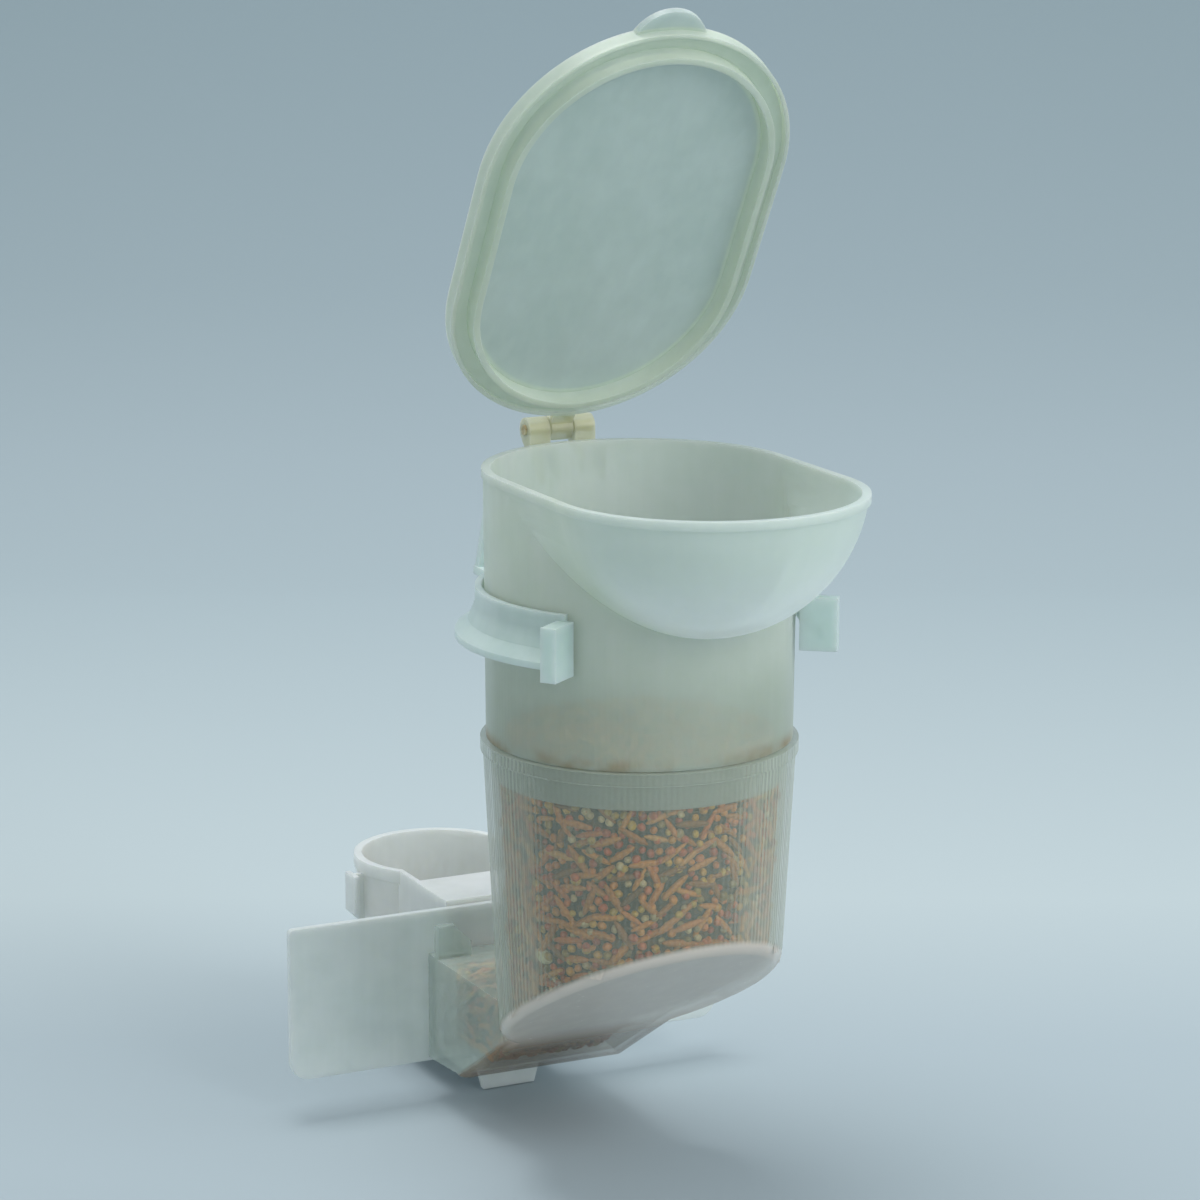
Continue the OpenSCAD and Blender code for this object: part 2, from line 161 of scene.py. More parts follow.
class Graph:
    """One material's node tree."""

    def __init__(self, name: str) -> None:
        """Starts an empty material.

        Args:
            name: The material's name.
        """
        self.material = bpy.data.materials.new(name)
        self.material.use_nodes = True
        self.tree = self.material.node_tree
        self.tree.nodes.clear()

    def add(self, kind: str, settings: Optional[Mapping[str, Any]] = None,
            inputs: Optional[Mapping[Union[int, str], Any]] = None,
            out: Union[int, str] = 0) -> Signal:
        """Adds a node.

        Args:
            kind: The node's type.
            settings: Its settings, set before its sockets. The setting "stops" fills a ramp.
            inputs: Values or signals for its sockets, by name or number.
            out: The output that is given back.

        Returns:
            The chosen output.
        """
        node = self.tree.nodes.new(kind)
        for name, value in (settings or {}).items():
            if name == "stops":
                self._fill_ramp(node.color_ramp, value)
            else:
                setattr(node, name, value)
        for name, value in (inputs or {}).items():
            if isinstance(value, Signal):
                self.tree.links.new(value.socket, node.inputs[name])
            elif isinstance(value, tuple) and node.inputs[name].type == "RGBA":
                node.inputs[name].default_value = (*value, 1.0)
            else:
                node.inputs[name].default_value = value
        return Signal(self, node.outputs[out] if len(node.outputs) else node.inputs[0])

    @staticmethod
    def _fill_ramp(ramp: bpy.types.ColorRamp, stops: Sequence[tuple[float, Colour]]) -> None:
        """Sets a ramp's stops.

        Args:
            ramp: The ramp.
            stops: Each stop's place and colour.
        """
        while len(ramp.elements) < len(stops):
            ramp.elements.new(1.0)
        for element, (place, colour) in zip(ramp.elements, stops):
            element.position = place
            element.color = (*colour, 1.0)

    def math(self, operation: str, a: Number, b: Optional[Number] = None) -> Signal:
        """Adds a Math node on one or two values."""
        inputs = {0: a} if b is None else {0: a, 1: b}
        return self.add("ShaderNodeMath", {"operation": operation}, inputs)

    def blend(self, factor: Number, a: Union[Colour, Signal], b: Union[Colour, Signal]) -> Signal:
        """Mixes two colours."""
        return self.add("ShaderNodeMix", {"data_type": "RGBA"}, {0: factor, 6: a, 7: b}, out=2)

    def place(self, stretch: Point = (1.0, 1.0, 1.0), move: Point = (0.0, 0.0, 0.0)) -> Signal:
        """Gives the place on the object, in metres, stretched for a pattern."""
        seen = self.add("ShaderNodeTexCoord", out="Object")
        return self.add("ShaderNodeMapping", None,
                        {"Vector": seen, "Scale": stretch, "Location": move})

    def axis(self, name: str, centre_mm: Point = (0.0, 0.0, 0.0)) -> Signal:
        """Gives one coordinate of the place on the object, from a centre, in metres."""
        move = tuple(-part * MM for part in centre_mm)
        return self.add("ShaderNodeSeparateXYZ", None, {0: self.place(move=move)}, out=name)

    def noise(self, size_mm: float, detail: float = 2.0,
              stretch: Point = (1.0, 1.0, 1.0)) -> Signal:
        """Adds noise whose blotches are about a given size.

        Args:
            size_mm: The size of a blotch.
            detail: How many finer layers are added.
            stretch: Scale of the pattern along each axis.

        Returns:
            The noise, from 0 to 1.
        """
        return self.add("ShaderNodeTexNoise", None,
                        {"Vector": self.place(stretch), "Scale": 1 / (size_mm * MM),
                         "Detail": detail}, out="Fac")

    def edge_on(self) -> Signal:
        """Gives 0 where a surface faces the eye and 1 where it is seen edge on."""
        return self.add("ShaderNodeLayerWeight", None, {"Blend": 0.5}, out="Facing")

    def bump(self, height: Signal, depth_mm: float) -> Signal:
        """Turns a height from 0 to 1 into a normal, depth_mm deep."""
        return self.add("ShaderNodeBump", None,
                        {"Height": height, "Strength": 1.0, "Distance": depth_mm * MM})

    def surface(self, inputs: Mapping[str, Any]) -> bpy.types.Material:
        """Ends the graph in a Principled shader.

        Args:
            inputs: Values and signals for the shader's sockets.

        Returns:
            The finished material.
        """
        shader = self.add("ShaderNodeBsdfPrincipled", None, inputs)
        self.add("ShaderNodeOutputMaterial", None, {"Surface": shader})
        return self.material


# ---------------- finishes


BARREL_TINT: Colour = linear(202, 204, 172)


def barrel_mask(graph: Graph, inner_mm: float = 3.2, outer_mm: float = 4.2) -> Signal:
    """Gives 1 round the hinge's axis, where handling has yellowed the plastic.

    Args:
        graph: The material's graph.
        inner_mm: How far from the axis the stain is whole.
        outer_mm: Where it ends.

    Returns:
        The mask, from 0 to 1.
    """
    axis = (0.0, HINGE_Y_MM, HINGE_Z_MM)
    y, z = graph.axis("Y", axis), graph.axis("Z", axis)
    return 1 - (y * y + z * z).ramp((inner_mm * MM) ** 2, (outer_mm * MM) ** 2)


@dataclass(frozen=True)
class MouldedPlastic:
    """Milky polypropylene: clouded, faintly streaked by the mould and slightly worn."""

    name: str
    tint: Colour
    cloud: Colour
    alpha: float
    roughness: float = 0.3
    milk: float = 0.8
    veil: float = 0.12
    rim_band: Band = (0.3, 0.9)
    rim_alpha: float = 0.95
    cloud_mm: float = 14.0
    cloud_band: Band = (0.3, 0.7)
    cloud_share: float = 0.7
    streak_mm: float = 3.2
    streak_band: Band = (0.35, 0.75)
    streak_stretch: Point = (1.0, 1.0, 0.12)
    streak_share: float = 0.2
    streak_rough: float = 0.06
    wear_mm: float = 0.7
    wear_band: Band = (0.62, 0.8)
    wear_share: float = 0.1
    wear_rough: float = 0.12
    glow_mm: Point = (4.0, 4.0, 3.4)
    grain_mm: float = 0.9
    grain_share: float = 0.4
    ripple_mm: float = 9.0
    grain_depth_mm: float = 0.02

    def relief(self, graph: Graph) -> Signal:
        """Gives the height of the moulded surface, from 0 to 1."""
        return (graph.noise(self.grain_mm, detail=3.0) * self.grain_share
                + graph.noise(self.ripple_mm, detail=1.0) * (1 - self.grain_share))

    def relief_depth(self) -> float:
        """Gives the depth of the relief in millimetres."""
        return self.grain_depth_mm

    def colour(self, graph: Graph, mix: Signal) -> Signal:
        """Gives the colour, from the tint to the cloud's."""
        return graph.blend(mix, self.tint, self.cloud)

    def cover(self, graph: Graph, mix: Signal) -> Signal:
        """Gives how much each surface hides, from 0 to 1.

        Args:
            graph: The material's graph.
            mix: The clouds, streaks and wear of the moulding.

        Returns:
            The opacity.
        """
        rim = graph.edge_on().ramp(*self.rim_band) * (self.rim_alpha - self.alpha)
        return graph.math("MINIMUM", mix * self.veil + rim + (self.alpha - self.veil / 2), 1.0)

    def build(self) -> bpy.types.Material:
        """Makes the material.

        Returns:
            The finished material.
        """
        graph = Graph(self.name)
        clouds = graph.noise(self.cloud_mm, detail=3.0).ramp(*self.cloud_band)
        streaks = graph.noise(self.streak_mm, stretch=self.streak_stretch)
        streaks = streaks.ramp(*self.streak_band)
        wear = graph.noise(self.wear_mm, detail=4.0).ramp(*self.wear_band)
        mix = (clouds * self.cloud_share + streaks * self.streak_share
               + wear * self.wear_share)
        return graph.surface({
            "Base Color": self.colour(graph, mix), "Alpha": self.cover(graph, mix),
            "Roughness": (streaks * self.streak_rough + wear * self.wear_rough
                          + self.roughness), "IOR": PLASTIC_IOR,
            "Subsurface Weight": self.milk, "Subsurface Scale": 1.0,
            "Subsurface Radius": tuple(part * MM for part in self.glow_mm),
            "Specular IOR Level": 0.5,
            "Normal": graph.bump(self.relief(graph), self.relief_depth())})


@dataclass(frozen=True)
class FlutedPlastic(MouldedPlastic):
    """Moulded plastic with fine upright flutes round the tube."""

    flutes: int = 160
    flute_depth_mm: float = 0.05
    flute_low_mm: float = 53.5
    flute_high_mm: float = 92.0
    flute_back_mm: float = 40.0
    flute_fade_mm: float = 4.0
    level_band: Band = (0.15, 0.4)
    outward_mm: float = 5.0

    @staticmethod
    def from_tube(graph: Graph, name: str) -> Signal:
        """Gives one coordinate of the place, from the tube's axis."""
        return graph.axis(name, (0.0, TUBE_Y_MM, 0.0))

    def flute_mask(self, graph: Graph) -> Signal:
        """Gives 1 where the flutes run, on upright faces that look outwards, and 0 elsewhere."""
        normal = graph.add("ShaderNodeNewGeometry", out="Normal")
        level = graph.add("ShaderNodeSeparateXYZ", None, {0: normal}, out="Z")
        flat_place = graph.place(stretch=(1.0, 1.0, 0.0), move=(0.0, -TUBE_Y_MM * MM, 0.0))
        outward = graph.add("ShaderNodeVectorMath", {"operation": "DOT_PRODUCT"},
                            {0: normal, 1: flat_place}, out="Value")
        height, along = graph.axis("Z"), self.from_tube(graph, "Y")
        back = self.flute_back_mm + self.flute_fade_mm
        return ((1 - abs(level).ramp(*self.level_band)) * outward.ramp(0.0, self.outward_mm * MM)
                * (1 - height.ramp(self.flute_low_mm * MM, self.flute_high_mm * MM))
                * (1 - along.ramp(self.flute_back_mm * MM, back * MM)))

    def relief(self, graph: Graph) -> Signal:
        """Gives the flutes' height round the tube's axis, from 0 to 1."""
        turn = graph.math("ARCTAN2", self.from_tube(graph, "X"), self.from_tube(graph, "Y"))
        return ((turn * float(self.flutes)).sine() * 0.5 + 0.5) * self.flute_mask(graph)

    def relief_depth(self) -> float:
        """Gives the depth of the flutes in millimetres."""
        return self.flute_depth_mm


@dataclass(frozen=True)
class HopperPlastic(FlutedPlastic):
    """The hopper's milky plastic: painted light on the scoop, a darker filled tube and dust at the
    joint.
    """

    low_tint: Colour = linear(176, 189, 176)
    low_share: float = 0.9
    low_band_mm: Band = (60.0, 78.0)
    stain_tint: Colour = linear(150, 118, 66)
    stain_share: float = 0.8
    stain_size_mm: float = 8.0
    stain_patch: Band = (0.35, 0.7)
    stain_band_mm: Band = (53.6, 56.8)
    stain_edge_mm: float = 0.6
    # Painted light: the scoop is paler, palest low down, as if light shone in at the mouth and out
    # through its wall.
    scoop_glow_tint: Colour = linear(230, 240, 239)
    scoop_top_glow_tint: Colour = linear(206, 221, 215)
    scoop_glow_band_mm: Band = (-90.0, -78.0)
    scoop_glow_foot_mm: Band = (74.0, 77.0)
    scoop_glow_height_mm: Band = (78.0, 99.0)

    def stain(self, graph: Graph) -> Signal:
        """Gives the patches of dust just above the cup's rim."""
        foot, top = self.stain_band_mm
        height = graph.axis("Z")
        return (height.ramp((foot - self.stain_edge_mm) * MM, foot * MM)
                * (1 - height.ramp(foot * MM, top * MM))
                * graph.noise(self.stain_size_mm).ramp(*self.stain_patch))

    def colour(self, graph: Graph, mix: Signal) -> Signal:
        """Gives the tube's colour: darker low down, painted light on the scoop, stained at the
        joint.
        """
        def rise(name: str, band_mm: Band) -> Signal:
            """Gives 0 below a band along an axis and 1 above it."""
            return graph.axis(name).ramp(band_mm[0] * MM, band_mm[1] * MM)

        lower = (1 - rise("Z", self.low_band_mm)) * self.low_share
        tube = graph.blend(lower, graph.blend(mix, self.tint, self.cloud), self.low_tint)
        tube = graph.blend(self.stain(graph) * self.stain_share, tube, self.stain_tint)
        # Painted light on the scoop: a paler colour, palest low down, stands in for light shining
        # through the wall.
        scoop_glow_mask = (1 - rise("Y", self.scoop_glow_band_mm)) * rise("Z", self.scoop_glow_foot_mm)
        scoop = graph.blend(rise("Z", self.scoop_glow_height_mm), self.scoop_glow_tint,
                            self.scoop_top_glow_tint)
        body = graph.blend(scoop_glow_mask, tube, scoop)
        return graph.blend(barrel_mask(graph), body, BARREL_TINT)


@dataclass(frozen=True)
class LidPlastic(MouldedPlastic):
    """The lid's plastic: a clear bluish panel inside a yellower, thicker rim."""

    panel_tint: Colour = linear(176, 193, 187)
    panel_cloud: Colour = linear(185, 199, 197)
    open_deg: float = 60.0
    middle_mm: float = -46.5
    half_mm: float = 12.5
    panel_mm: Band = (23.4, 24.2)
    outer_mm: Band = (29.6, 30.2)
    tab_mm: Band = (-48.5, -46.5)

    def panel_mask(self, graph: Graph) -> Signal:
        """Gives 1 on the panel inside the rim and on the tab.

        Args:
            graph: The material's graph.

        Returns:
            The mask, from the distance to the lid's middle line, as the lid lies when shut.
        """
        centre = graph.place(move=(0.0, -HINGE_Y_MM * MM, -HINGE_Z_MM * MM))
        shut = graph.add("ShaderNodeMapping", None,
                         {"Vector": centre, "Rotation": (math.radians(self.open_deg), 0.0, 0.0)})
        across = graph.add("ShaderNodeSeparateXYZ", None, {0: shut}, out="X")
        along = graph.add("ShaderNodeSeparateXYZ", None, {0: shut}, out="Y")
        past = graph.math("MAXIMUM", abs(along - self.middle_mm * MM) - self.half_mm * MM, 0.0)
        radius = graph.math("SQRT", across * across + past * past)
        panel, rim, tab = ([part * MM for part in band] for band in
                           (self.panel_mm, self.outer_mm, self.tab_mm))
        return 1 - radius.ramp(*panel) + radius.ramp(*rim) * (1 - along.ramp(*tab))

    def colour(self, graph: Graph, mix: Signal) -> Signal:
        """Gives the rim's colour, bluer on the panel and yellowed at the knuckle."""
        rim = graph.blend(mix, self.tint, self.cloud)
        panel = graph.blend(mix, self.panel_tint, self.panel_cloud)
        lid = graph.blend(self.panel_mask(graph), rim, panel)
        return graph.blend(barrel_mask(graph), lid, BARREL_TINT)


@dataclass(frozen=True)
class CupPlastic(FlutedPlastic):
    """The cup's clear plastic: see-through round the seed and milky on the floor."""

    # Painted shade: the hollows between the flutes are darkened towards this colour.
    groove_shade_tint: Colour = linear(138, 149, 136)
    groove_shade_share: float = 0.4
    throat_tint: Colour = linear(196, 213, 204)
    floor_tint: Colour = linear(238, 230, 218)
    # Brown under the throat: partly seed seen through the floor, partly painted shade.
    under_seed_shade_tint: Colour = linear(138, 116, 92)
    under_seed_shade_band_mm: Band = (10.0, 25.0)
    floor_alpha: float = 0.7
    throat_thin: float = 0.2
    throat_milk: float = 0.14
    throat_top_mm: Band = (8.0, 11.0)
    throat_back_mm: Band = (22.0, 26.0)
    floor_band_mm: Band = (0.9, 2.1)
    flute_cover: float = 0.5
    haze_band: Band = (0.2, 0.5)
    haze: float = 0.2

    def floor_mask(self, graph: Graph) -> Signal:
        """Gives 1 on the sloping floor and the throat's underside, and 0 above them."""
        slope = math.radians(FLOOR_SLOPE_DEG)
        centre = (0.0, TUBE_Y_MM, FLOOR_Z_MM)
        height = (graph.axis("Y", centre) * math.sin(slope)
                  + graph.axis("Z", centre) * math.cos(slope))
        low, high = self.floor_band_mm
        return 1 - height.ramp(low * MM, high * MM)

    def throat_mask(self, graph: Graph) -> Signal:
        """Gives 1 on the throat behind the tube and 0 on the tube."""
        near, far = self.throat_back_mm
        low, high = self.throat_top_mm
        return (self.from_tube(graph, "Y").ramp(near * MM, far * MM)
                * (1 - graph.axis("Z").ramp(low * MM, high * MM)))

    def colour(self, graph: Graph, mix: Signal) -> Signal:
        """Gives the wall's colour: painted shade in the flutes' hollows, greener on the throat, and
        a pale floor that turns brown towards the throat, with seed seen through and painted shade.
        """
        # Painted shade darkens the colour in the hollows between the flutes.
        groove_shade = (self.flute_mask(graph) - self.relief(graph)) * self.groove_shade_share
        wall = graph.blend(groove_shade, graph.blend(mix, self.tint, self.cloud), self.groove_shade_tint)
        side = graph.blend(self.throat_mask(graph), wall, self.throat_tint)
        # The floor browns towards the throat: partly seed seen through, partly painted shade.
        near, far = self.under_seed_shade_band_mm
        under = graph.blend(self.from_tube(graph, "Y").ramp(near * MM, far * MM),
                            self.floor_tint, self.under_seed_shade_tint)
        return graph.blend(self.floor_mask(graph), side, under)

    def cover(self, graph: Graph, mix: Signal) -> Signal:
        """Gives the opacity: little on the wall, more towards its edges, most on the floor."""
        mask, throat = self.floor_mask(graph), self.throat_mask(graph)
        clear = mix * self.veil + (self.alpha - self.veil / 2)
        fluted = self.relief(graph) * self.flute_cover + (1 - self.flute_cover / 2)
        haze = graph.edge_on().ramp(*self.haze_band) * self.haze
        rim = (super().cover(graph, mix) - clear + haze) * fluted
        wall = rim * (1 - throat) + clear + throat * self.throat_milk
        return wall * (1 - mask) + mask * (self.floor_alpha - throat * self.throat_thin)


@dataclass(frozen=True)
class TrayPlastic(MouldedPlastic):
    """The tray's plastic, thin and clear on the tongue that plugs into the cup's spout."""

    tongue_band_mm: Band = (0.2, 1.2)
    tongue_alpha: float = 0.2

    def cover(self, graph: Graph, mix: Signal) -> Signal:
        """Gives how much each surface hides: little of what lies behind the tongue."""
        low, high = self.tongue_band_mm
        bowl = graph.axis("Y").ramp(low * MM, high * MM)
        return super().cover(graph, mix) * bowl + (1 - bowl) * self.tongue_alpha


@dataclass(frozen=True)
class AgedPlastic:
    """Yellowed plastic of the hinge pin, with blotches of dirt."""

    name: str
    tint: Colour
    dirt: Colour
    stain_mm: float = 2.2
    stain_band: Band = (0.45, 0.7)
    stain_rough: float = 0.2
    roughness: float = 0.35
    scratch_mm: float = 0.5
    scratch_stretch: Point = (0.1, 1.0, 1.0)
    scratch_depth_mm: float = 0.02

    def build(self) -> bpy.types.Material:
        """Makes and gives back the material."""
        graph = Graph(self.name)
        stain = graph.noise(self.stain_mm, detail=4.0).ramp(*self.stain_band)
        scratches = graph.noise(self.scratch_mm, stretch=self.scratch_stretch)
        return graph.surface({
            "Base Color": graph.blend(stain, self.tint, self.dirt),
            "Roughness": stain * self.stain_rough + self.roughness, "IOR": PLASTIC_IOR,
            "Normal": graph.bump(scratches, self.scratch_depth_mm)})


@dataclass(frozen=True)
class GrainCoat:
    """Husk of a seed: each grain takes its own tone, with fine lines along it."""

    name: str
    tones: tuple[tuple[float, Colour], ...]
    roughness: float = 0.45
    mottle_mm: float = 0.6
    mottle_band: Band = (0.35, 0.75)
    mottle_share: float = 0.45
    mottle_tint: Colour = linear(96, 58, 30)
    mottle_rough: float = 0.2
    mottle_depth_mm: float = 0.08

    def build(self) -> bpy.types.Material:
        """Makes and gives back the material."""
        graph = Graph(self.name)
        tone = graph.add("ShaderNodeAttribute", {"attribute_name": GrainBed.TONE}, out="Fac")
        colour = graph.add("ShaderNodeValToRGB", {"stops": self.tones}, {"Fac": tone}, out="Color")
        mottle = graph.noise(self.mottle_mm, detail=3.0)
        share = mottle.ramp(*self.mottle_band) * self.mottle_share
        return graph.surface({
            "Base Color": graph.blend(share, colour, self.mottle_tint),
            "Roughness": mottle * self.mottle_rough + self.roughness,
            "Normal": graph.bump(mottle, self.mottle_depth_mm)})


@dataclass(frozen=True)
class SeedCoreShade:
    """What shows between the outer grains: grain further in, painted dark as the shade in the gaps.
    """

    name: str
    dark: Colour
    light: Colour
    lump_mm: float = 2.2
    lump_depth_mm: float = 0.6
    mottle_mm: float = 1.5
    mottle_band: Band = (0.4, 0.7)
    roughness: float = 0.8

    def build(self) -> bpy.types.Material:
        """Makes and gives back the material."""
        graph = Graph(self.name)
        lumps = graph.add("ShaderNodeTexVoronoi", None,
                          {"Vector": graph.place(), "Scale": 1 / (self.lump_mm * MM)},
                          out="Distance")
        mottle = graph.noise(self.mottle_mm, detail=3.0).ramp(*self.mottle_band)
        return graph.surface({
            "Base Color": graph.blend(mottle, self.dark, self.light),
            "Roughness": self.roughness,
            "Normal": graph.bump(1 - lumps, self.lump_depth_mm)})


@dataclass(frozen=True)
class StudioPaper:
    """The pale sweep behind and below the part, with painted light: brightest behind it and darker
    above.
    """

    name: str
    tones: tuple[tuple[float, Colour], ...]
    near_y: float
    far_y: float
    fibre_mm: float = 40.0
    fibre_rough: float = 0.1
    roughness: float = 0.75
    specular: float = 0.15

    def build(self) -> bpy.types.Material:
        """Makes and gives back the material."""
        graph = Graph(self.name)
        along = graph.add("ShaderNodeMapRange", None,
                          {"Value": graph.axis("Y"), "From Min": self.near_y,
                           "From Max": self.far_y})
        colour = graph.add("ShaderNodeValToRGB", {"stops": self.tones}, {"Fac": along},
                           out="Color")
        return graph.surface({
            "Base Color": colour, "Specular IOR Level": self.specular,
            "Roughness": graph.noise(self.fibre_mm) * self.fibre_rough + self.roughness})


# ---------------- mesh helpers


def new_object(name: str, mesh: bpy.types.Mesh) -> bpy.types.Object:
    """Puts a mesh into the scene.

    Args:
        name: The object's name.
        mesh: Its mesh.

    Returns:
        The new object.
    """
    piece = bpy.data.objects.new(name, mesh)
    bpy.context.scene.collection.objects.link(piece)
    return piece


def shade(mesh: bpy.types.Mesh, angle_deg: float = 35.0) -> None:
    """Shades a mesh smooth, except over edges sharper than an angle."""
    mesh.shade_smooth()
    mesh.set_sharp_from_angle(angle=math.radians(angle_deg))


def merged_copy(node: str) -> bmesh.types.BMesh:
    """Copies a CAD node's mesh with its loose triangles joined and flat areas made whole.

    Args:
        node: The CAD node.

    Returns:
        The copy.
    """
    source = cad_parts[node].data
    plain = bpy.data.meshes.new(node + "_plain")
    plain.from_pydata([v.co[:] for v in source.vertices], [],
                      [tuple(p.vertices) for p in source.polygons])
    copy = bmesh.new()
    copy.from_mesh(plain)
    bpy.data.meshes.remove(plain)
    bmesh.ops.remove_doubles(copy, verts=copy.verts[:], dist=WELD_MM * MM)
    bmesh.ops.dissolve_limit(copy, angle_limit=math.radians(FLAT_DEG), verts=copy.verts[:],
                             edges=copy.edges[:])
    return copy


def is_sharp(edge: bmesh.types.BMEdge) -> bool:
    """Tells whether two faces meet at an edge and turn sharply there."""
    return len(edge.link_faces) == 2 and edge.calc_face_angle(0.0) > math.radians(SHARP_DEG)


def round_edges(copy: bmesh.types.BMesh, edges: list[bmesh.types.BMEdge], size_mm: float,
                steps: int = 2, clamp: bool = True) -> None:
    """Rounds some edges of a mesh.

    Args:
        copy: The mesh.
        edges: The edges.
        size_mm: The size of the rounding.
        steps: How many flats make it up.
        clamp: Whether it stops where roundings meet.
    """
    bmesh.ops.bevel(copy, geom=edges, offset=size_mm * MM, offset_type="OFFSET", segments=steps,
                    profile=0.5, affect="EDGES", clamp_overlap=clamp)


def set_in_order(copy: bmesh.types.BMesh) -> None:
    """Sorts a mesh by place, because rounding leaves its parts in an order of chance."""
    for parts, place in ((copy.verts, lambda part: part.co[:]),
                         (copy.faces, lambda part: part.calc_center_median()[:])):
        for rank, part in enumerate(sorted(parts, key=place)):
            part.index = rank
        parts.sort()
        parts.index_update()


def softened(node: str, name: str, edge_mm: float,
             heel: Optional[Callable[[bmesh.types.BMEdge], bool]] = None,
             heel_mm: float = 0.0) -> bpy.types.Object:
    """Copies a CAD node and rounds its sharp edges.

    Args:
        node: The CAD node.
        name: The new piece's name.
        edge_mm: The size of the rounding.
        heel: Tells which edges get a larger rounding first.
        heel_mm: The size of that rounding.

    Returns:
        The new piece.
    """
    copy = merged_copy(node)
    if heel:
        round_edges(copy, [e for e in copy.edges if heel(e)], heel_mm, steps=4, clamp=False)
    round_edges(copy, [e for e in copy.edges if is_sharp(e)], edge_mm)
    set_in_order(copy)
    mesh = bpy.data.meshes.new(name)
    copy.to_mesh(mesh)
    copy.free()
    shade(mesh)
    piece = new_object(name, mesh)
    weigh = piece.modifiers.new("weigh", "WEIGHTED_NORMAL")
    weigh.keep_sharp = True
    seen = piece.evaluated_get(bpy.context.evaluated_depsgraph_get())
    flat = bpy.data.meshes.new_from_object(seen)
    piece.modifiers.clear()
    piece.data = flat
    return piece


def dress(piece: bpy.types.Object, material: bpy.types.Material, body: Body, slot: Slot,
          *nodes: str) -> None:
    """Gives a piece its finish and its body, and hides the CAD nodes that it stands for.

    Args:
        piece: The piece.
        material: Its finish.
        body: The body that it rides on.
        slot: Not used.
        *nodes: The CAD nodes that it stands for.
    """
    piece.data.materials.clear()
    piece.data.materials.append(material)
    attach(piece, body.value)
    if nodes:
        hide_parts(*nodes)
    LOG.info("%s: %d faces, rides on %s", piece.name, len(piece.data.polygons), body.value)


# ---------------- sub-assemblies


@dataclass
class Moulding:
    """One moulded piece: the CAD node with its edges rounded."""

    node: str
    name: str
    body: Body
    slot: Slot
    finish: Union[MouldedPlastic, AgedPlastic]
    edge_mm: float = 0.25

    def shape(self) -> bpy.types.Object:
        """Makes the piece's mesh."""
        return softened(self.node, self.name, self.edge_mm)

    def build(self) -> bpy.types.Object:
        """Makes and dresses the piece.

        Returns:
            The finished piece.
        """
        piece = self.shape()
        dress(piece, self.finish.build(), self.body, self.slot, self.node)
        return piece


@dataclass
class CupMoulding(Moulding):
    """The base cup, whose wall turns into the sloping floor over a broad rounding."""

    heel_mm: float = 2.0
    heel_from_mm: float = 22.0
    plane_band_mm: float = 0.05

    def is_heel(self, edge: bmesh.types.BMEdge) -> bool:
        """Tells whether an edge lies where the cup's wall meets the floor's underside.

        Args:
            edge: The edge.

        Returns:
            Whether it does, and is sharp.
        """
        slope = math.radians(FLOOR_SLOPE_DEG)
        for vert in edge.verts:
            x, y, z = vert.co / MM
            along, up = y - TUBE_Y_MM, z - FLOOR_Z_MM
            height = along * math.sin(slope) + up * math.cos(slope)
            if abs(height) > self.plane_band_mm or math.hypot(x, along) < self.heel_from_mm:
                return False
        return is_sharp(edge)

    def shape(self) -> bpy.types.Object:
        """Makes the piece's mesh."""
        return softened(self.node, self.name, self.edge_mm, self.is_heel, self.heel_mm)


@dataclass(frozen=True)
class GrainKind:
    """One kind of seed: its spindle form and how it lies."""

    name: str
    length_mm: float
    width_mm: float
    thickness_mm: float
    sides: int
    rings: int
    spacing_mm: float
    depth_mm: float
    tilt_deg: float
    spin_deg: float
    coat: GrainCoat

    def template(self) -> bpy.types.Object:
        """Makes one grain, lying along X.

        Returns:
            The grain.
        """
        shape = bmesh.new()
        loops = []
        for ring in range(1, self.rings):
            angle = math.pi * ring / self.rings
            x = -math.cos(angle) * self.length_mm / 2
            swell = math.sin(angle)
            loops.append([shape.verts.new((
                x * MM,
                math.cos(2 * math.pi * k / self.sides) * swell * self.width_mm / 2 * MM,
                math.sin(2 * math.pi * k / self.sides) * swell * self.thickness_mm / 2 * MM))
                for k in range(self.sides)])
        tips = [shape.verts.new((end * self.length_mm / 2 * MM, 0, 0)) for end in (-1, 1)]
        for k in range(self.sides):
            n = (k + 1) % self.sides
            for a, b in zip(loops, loops[1:]):
                shape.faces.new((a[k], b[k], b[n], a[n]))
            shape.faces.new((tips[0], loops[0][k], loops[0][n]))
            shape.faces.new((tips[1], loops[-1][n], loops[-1][k]))
        bmesh.ops.recalc_face_normals(shape, faces=shape.faces[:])
        mesh = bpy.data.meshes.new(self.name + "_grain")
        shape.to_mesh(mesh)
        shape.free()
        mesh.shade_smooth()
        return new_object(self.name + "_grain", mesh)


